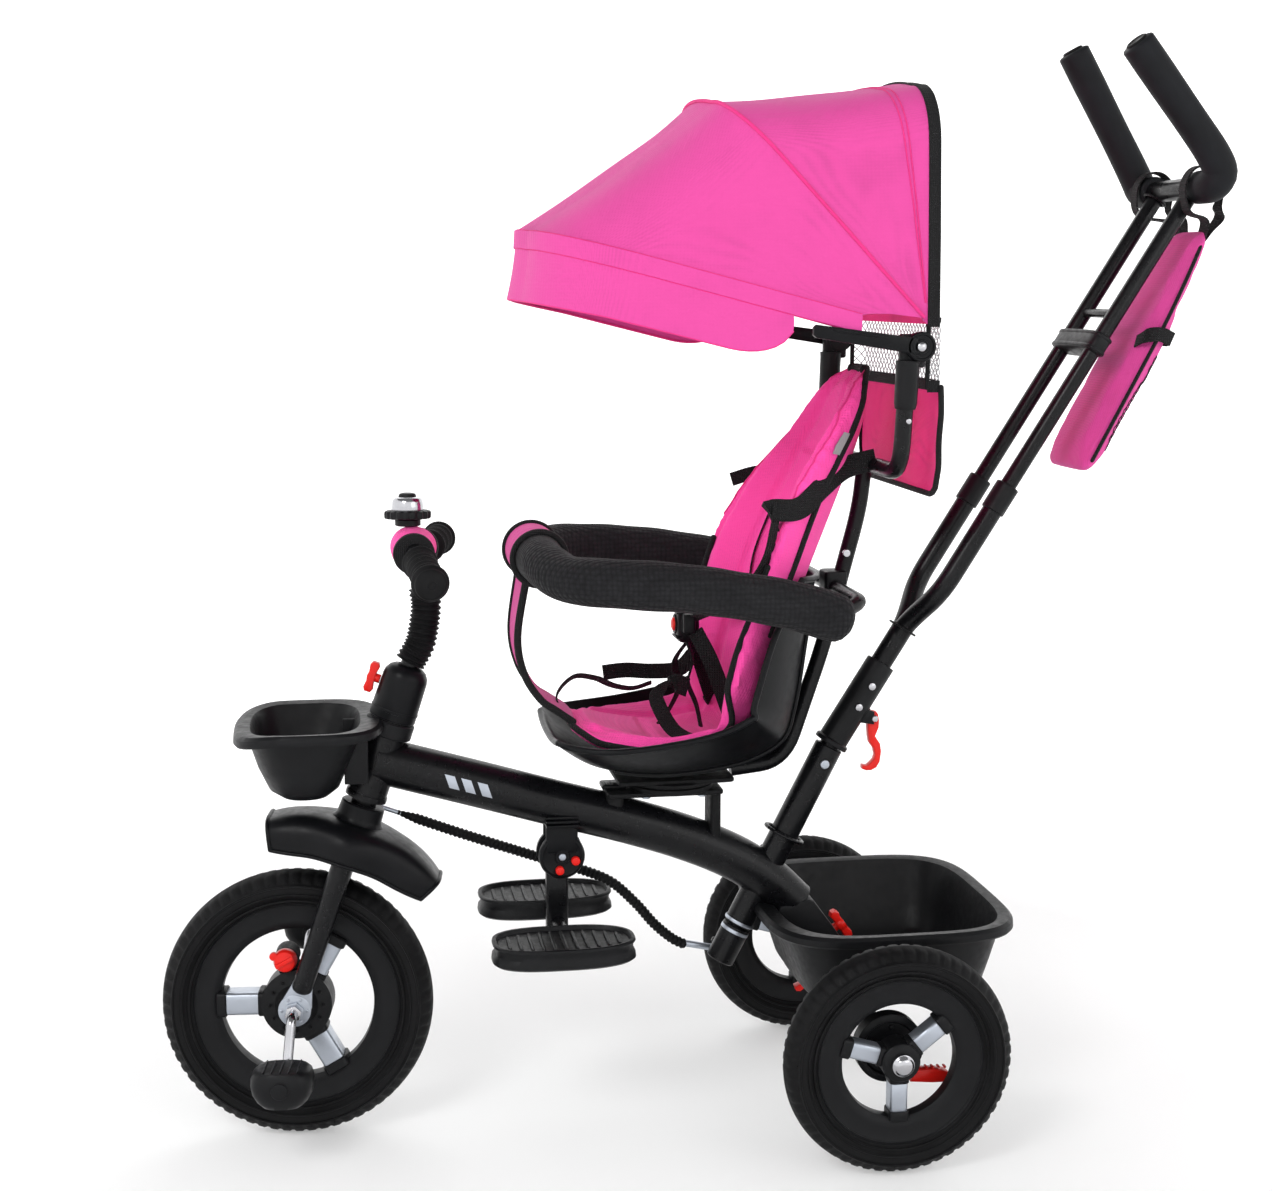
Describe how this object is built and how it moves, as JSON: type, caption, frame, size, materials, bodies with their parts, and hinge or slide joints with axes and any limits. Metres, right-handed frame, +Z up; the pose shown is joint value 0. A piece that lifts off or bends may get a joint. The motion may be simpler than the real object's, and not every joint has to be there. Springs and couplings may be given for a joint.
{
  "type": "children's push tricycle",
  "caption": "Child's push tricycle with swivel bucket seat, bumper guard, folding canopy, storage tubs and a telescopic parent handle that steers the front wheel.",
  "frame": {"origin": "on the floor, at the middle of the footprint of the whole tricycle", "axes": "+X points forward, the way the rider faces; +Y to the rider's left; +Z up"},
  "size_m": [1.1814, 0.482, 1.2159],
  "materials": {
    "black_steel": "gloss black paint",
    "chrome_steel": "polished",
    "black_plastic": "satin black",
    "wheel_plastic": "black with silver spoke sleeves",
    "tyre_rubber": "matt",
    "soft_rubber": "matt",
    "foam": "foam under a fine knit",
    "pink_cloth": "plain woven, black piping",
    "red_plastic": "glossy red"
  },
  "bodies": {
    "frame": {"main_frame": "black_steel", "rear_frame": "black_steel", "rear_axle": "chrome_steel", "seat_bracket": "black_steel", "basket": "black_plastic", "bucket": "black_plastic", "footrest_bracket": "black_plastic"},
    "swivel_latch": {"swivel_latch": "black_plastic"},
    "bucket_knob": {"bucket_knob": "red_plastic"},
    "footrest": {"footrest_post": "black_steel", "footrest_tray_left": "black_plastic", "footrest_tray_right": "black_plastic"},
    "footrest_button_upper": {"footrest_button_upper": "red_plastic"},
    "footrest_button_lower": {"footrest_button_lower": "red_plastic"},
    "steering": {"fork": "black_steel", "fender": "black_plastic", "stem_cover": "black_plastic", "handlebar": "black_steel", "stem_bellows": "soft_rubber", "handlebar_grip_left": "soft_rubber", "handlebar_grip_right": "soft_rubber", "handlebar_pad": "pink_cloth", "bell_base": "black_plastic"},
    "stem_screw": {"stem_screw": "red_plastic"},
    "bell_dial": {"bell_dial": "chrome_steel"},
    "front_wheel": {"front_tyre": "tyre_rubber", "front_rim": "wheel_plastic"},
    "clutch_knob": {"clutch_knob": "red_plastic"},
    "crank": {"crank": "chrome_steel"},
    "pedal_left": {"pedal_left": "black_plastic"},
    "pedal_right": {"pedal_right": "black_plastic"},
    "rear_wheel_left": {"rear_tyre_left": "tyre_rubber", "rear_rim_left": "wheel_plastic"},
    "rear_wheel_right": {"rear_tyre_right": "tyre_rubber", "rear_rim_right": "wheel_plastic"},
    "brake_pedal_left": {"brake_pedal_left": "red_plastic"},
    "brake_pedal_right": {"brake_pedal_right": "red_plastic"},
    "seat": {"seat_plate": "black_steel", "seat_shell": "black_plastic", "seat_cushion": "pink_cloth", "seat_back_frame": "black_steel", "crotch_pad": "pink_cloth", "harness_buckle": "black_plastic", "rear_pocket": "pink_cloth", "canopy_rear": "pink_cloth"},
    "buckle_button": {"buckle_button": "red_plastic"},
    "guard_left": {"guard_arm_left": "foam"},
    "guard_right": {"guard_arm_right": "foam"},
    "canopy_middle": {"canopy_middle": "pink_cloth"},
    "canopy_front": {"canopy_front": "pink_cloth"},
    "push_bar": {"push_shaft": "black_steel", "push_lower": "black_steel"},
    "push_lever": {"push_lever": "red_plastic"},
    "push_top": {"push_upper": "black_steel", "push_grip_left": "foam", "push_grip_right": "foam", "push_bag": "pink_cloth"},
    "steering_rod": {"steering_rod": "soft_rubber"}
  },
  "joints": [
    {"name": "swivel_latch_slide", "type": "slide", "parent": "frame", "child": "swivel_latch", "axis": [1, 0, 0], "range_m": [0, 0.005], "stiffness_N_per_m": 400},
    {"name": "bucket_knob_turn", "type": "hinge", "parent": "frame", "child": "bucket_knob", "pos_m": [-0.17441, 0, 0.1985], "axis": [-0.8168, 0, 0.5769], "continuous": true},
    {"name": "footrest_fold", "type": "hinge", "parent": "frame", "child": "footrest", "pos_m": [0.14459, 0, 0.306], "axis": [0, 1, 0], "range_deg": [0, 35]},
    {"name": "footrest_button_upper_press", "type": "slide", "parent": "frame", "child": "footrest_button_upper", "axis": [0, -1, 0], "range_m": [0, 0.003], "stiffness_N_per_m": 400},
    {"name": "footrest_button_lower_press", "type": "slide", "parent": "frame", "child": "footrest_button_lower", "axis": [0, -1, 0], "range_m": [0, 0.003], "stiffness_N_per_m": 400},
    {"name": "steering_turn", "type": "hinge", "parent": "frame", "child": "steering", "pos_m": [0.44059, 0, 0.15025], "axis": [-0.3256, 0, 0.9455], "range_deg": [-15, 29]},
    {"name": "stem_screw_turn", "type": "hinge", "parent": "steering", "child": "stem_screw", "pos_m": [0.34229, -0.00305, 0.51196], "axis": [0.9385, -0.1219, 0.3231], "continuous": true},
    {"name": "bell_dial_turn", "type": "hinge", "parent": "steering", "child": "bell_dial", "pos_m": [0.30923, -0.00625, 0.68813], "axis": [-0.0023, -0.0397, 0.9992], "range_deg": [-45, 45], "stiffness_Nm_per_rad": 0.05},
    {"name": "front_wheel_spin", "type": "hinge", "parent": "steering", "child": "front_wheel", "pos_m": [0.44059, 0, 0.15025], "axis": [0.1152, 0.9925, 0.0397], "continuous": true},
    {"name": "clutch_knob_turn", "type": "hinge", "parent": "front_wheel", "child": "clutch_knob", "pos_m": [0.45333, 0.01255, 0.20265], "axis": [0.1152, 0.9925, 0.0397], "range_deg": [0, 90]},
    {"name": "crank_spin", "type": "hinge", "parent": "steering", "child": "crank", "pos_m": [0.44059, 0, 0.15025], "axis": [0.1152, 0.9925, 0.0397], "continuous": true},
    {"name": "pedal_left_spin", "type": "hinge", "parent": "crank", "child": "pedal_left", "pos_m": [0.45817, 0.11773, 0.10293], "axis": [0.1152, 0.9925, 0.0397], "continuous": true},
    {"name": "pedal_right_spin", "type": "hinge", "parent": "crank", "child": "pedal_right", "pos_m": [0.42302, -0.11773, 0.19758], "axis": [0.1152, 0.9925, 0.0397], "continuous": true},
    {"name": "rear_wheel_left_spin", "type": "hinge", "parent": "frame", "child": "rear_wheel_left", "pos_m": [-0.18941, 0.213, 0.125], "axis": [0, 1, 0], "continuous": true},
    {"name": "rear_wheel_right_spin", "type": "hinge", "parent": "frame", "child": "rear_wheel_right", "pos_m": [-0.18941, -0.213, 0.125], "axis": [0, 1, 0], "continuous": true},
    {"name": "brake_left_press", "type": "hinge", "parent": "frame", "child": "brake_pedal_left", "pos_m": [-0.21541, 0.177, 0.09], "axis": [0, -1, 0], "range_deg": [0, 18]},
    {"name": "brake_right_press", "type": "hinge", "parent": "frame", "child": "brake_pedal_right", "pos_m": [-0.21541, -0.177, 0.09], "axis": [0, -1, 0], "range_deg": [0, 18]},
    {"name": "seat_swivel", "type": "hinge", "parent": "frame", "child": "seat", "pos_m": [0.01859, 0, 0.39], "axis": [0, 0, 1], "range_deg": [0, 180]},
    {"name": "buckle_button_press", "type": "slide", "parent": "seat", "child": "buckle_button", "axis": [-1, 0, 0], "range_m": [0, 0.003], "stiffness_N_per_m": 400},
    {"name": "guard_left_open", "type": "hinge", "parent": "seat", "child": "guard_left", "pos_m": [-0.13141, 0.16, 0.6], "axis": [0, 0, 1], "range_deg": [0, 65]},
    {"name": "guard_right_open", "type": "hinge", "parent": "seat", "child": "guard_right", "pos_m": [-0.13141, -0.16, 0.6], "axis": [0, 0, -1], "range_deg": [0, 65]},
    {"name": "canopy_fold", "type": "hinge", "parent": "seat", "child": "canopy_middle", "pos_m": [-0.21341, 0, 0.877], "axis": [0, -1, 0], "range_deg": [0, 28]},
    {"name": "canopy_front_fold", "type": "hinge", "parent": "canopy_middle", "child": "canopy_front", "pos_m": [-0.21341, 0, 0.877], "axis": [0, -1, 0], "range_deg": [0, 28]},
    {"name": "push_bar_turn", "type": "hinge", "parent": "frame", "child": "push_bar", "pos_m": [-0.10041, 0, 0.288], "axis": [-0.454, 0, 0.891], "range_deg": [-15, 29]},
    {"name": "push_lever_open", "type": "hinge", "parent": "push_bar", "child": "push_lever", "pos_m": [-0.21747, 0, 0.44993], "axis": [0, 1, 0], "range_deg": [0, 100]},
    {"name": "push_bar_slide", "type": "slide", "parent": "push_bar", "child": "push_top", "axis": [-0.5329, 0, 0.8462], "range_m": [-0.09, 0]},
    {"name": "steering_rod_turn", "type": "hinge", "parent": "push_bar", "child": "steering_rod", "pos_m": [-0.04116, -0.034, 0.17172], "axis": [-0.454, 0, 0.891], "range_deg": [-29, 15]}
  ],
  "couplings": [
    {"joint": "push_bar_turn", "follows": "steering_turn", "ratio": 1},
    {"joint": "steering_rod_turn", "follows": "steering_turn", "ratio": -1},
    {"joint": "crank_spin", "follows": "front_wheel_spin", "ratio": 1},
    {"joint": "canopy_front_fold", "follows": "canopy_fold", "ratio": 1}
  ]
}
